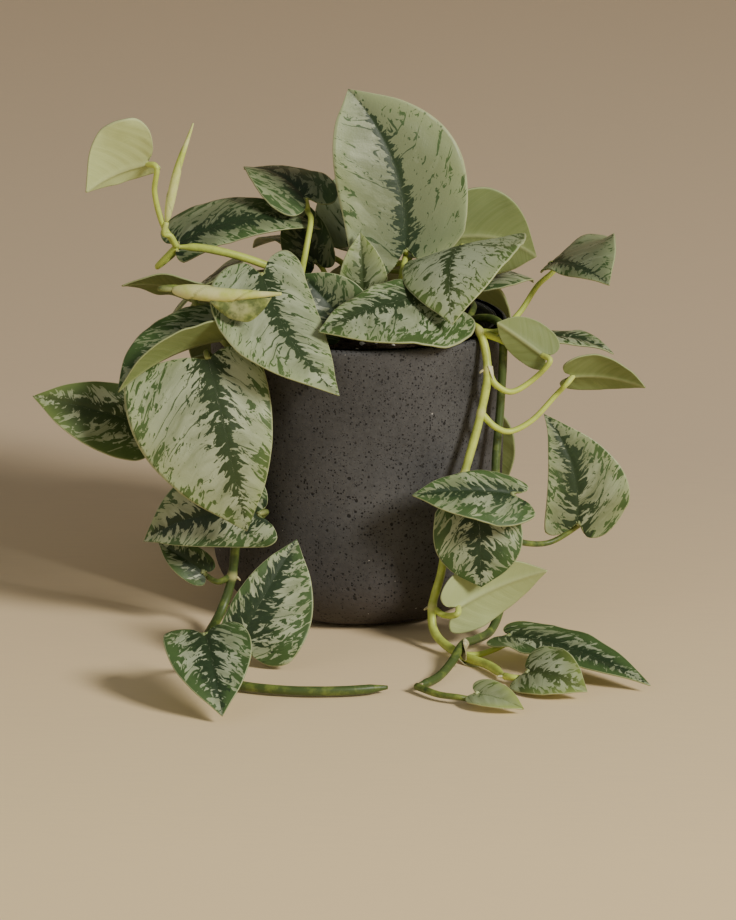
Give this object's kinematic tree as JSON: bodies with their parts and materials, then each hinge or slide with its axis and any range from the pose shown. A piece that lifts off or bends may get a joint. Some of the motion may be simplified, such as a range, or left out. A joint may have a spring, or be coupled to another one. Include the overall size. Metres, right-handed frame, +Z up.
{
  "type": "potted satin pothos",
  "caption": "Trailing house plant with silver-splashed heart-shaped leaves, growing over the rim of a round charcoal pot.",
  "frame": {"origin": "centre of the pot's flat base, where it stands", "axes": "+Z up along the pot's axis, -Y towards the front of the plant, +X to the right seen from the front"},
  "size_m": [0.3051, 0.3424, 0.2602],
  "materials": {
    "pot": "matte",
    "soil": "matte",
    "leaf": "satin",
    "new_leaf": "satin",
    "stem": "satin"
  },
  "bodies": {
    "root": {"back_leaf_1": "leaf", "back_leaf_2": "leaf", "back_leaf_3": "leaf", "back_leaf_4": "leaf", "back_left_leaf_1": "leaf", "back_left_leaf_2": "leaf", "back_left_leaf_3": "leaf", "back_left_leaf_4": "leaf", "back_left_leaf_5": "leaf", "back_left_vine": "stem", "back_right_leaf_1": "leaf", "back_right_leaf_2": "leaf", "back_right_leaf_3": "leaf", "back_right_leaf_4": "leaf", "back_right_leaf_5": "leaf", "back_right_vine": "stem", "back_stem": "stem", "crown_leaf_1": "leaf", "crown_leaf_2": "leaf", "crown_leaf_3": "leaf", "crown_leaf_4": "leaf", "crown_leaf_5": "leaf", "crown_leaf_6": "leaf", "crown_leaf_7": "leaf", "crown_stem": "stem", "far_right_leaf_1": "leaf", "far_right_leaf_2": "leaf", "far_right_vine": "stem", "left_leaf_1": "leaf", "left_leaf_2": "leaf", "left_leaf_3": "leaf", "left_leaf_4": "leaf", "left_leaf_5": "leaf", "left_leaf_6": "leaf", "left_leaf_7": "leaf", "left_leaf_8": "leaf", "left_leaf_9": "leaf", "left_new_leaf": "new_leaf", "left_vine": "stem", "pot": "pot", "reaching_leaf_1": "leaf", "reaching_leaf_2": "leaf", "reaching_leaf_3": "new_leaf", "reaching_new_leaf": "new_leaf", "reaching_stem": "stem", "right_leaf_1": "leaf", "right_leaf_2": "leaf", "right_leaf_3": "leaf", "right_leaf_4": "leaf", "right_leaf_5": "leaf", "right_leaf_6": "leaf", "right_leaf_7": "leaf", "right_leaf_8": "leaf", "right_leaf_9": "leaf", "right_vine": "stem", "soil": "soil"}
  },
  "joints": []
}
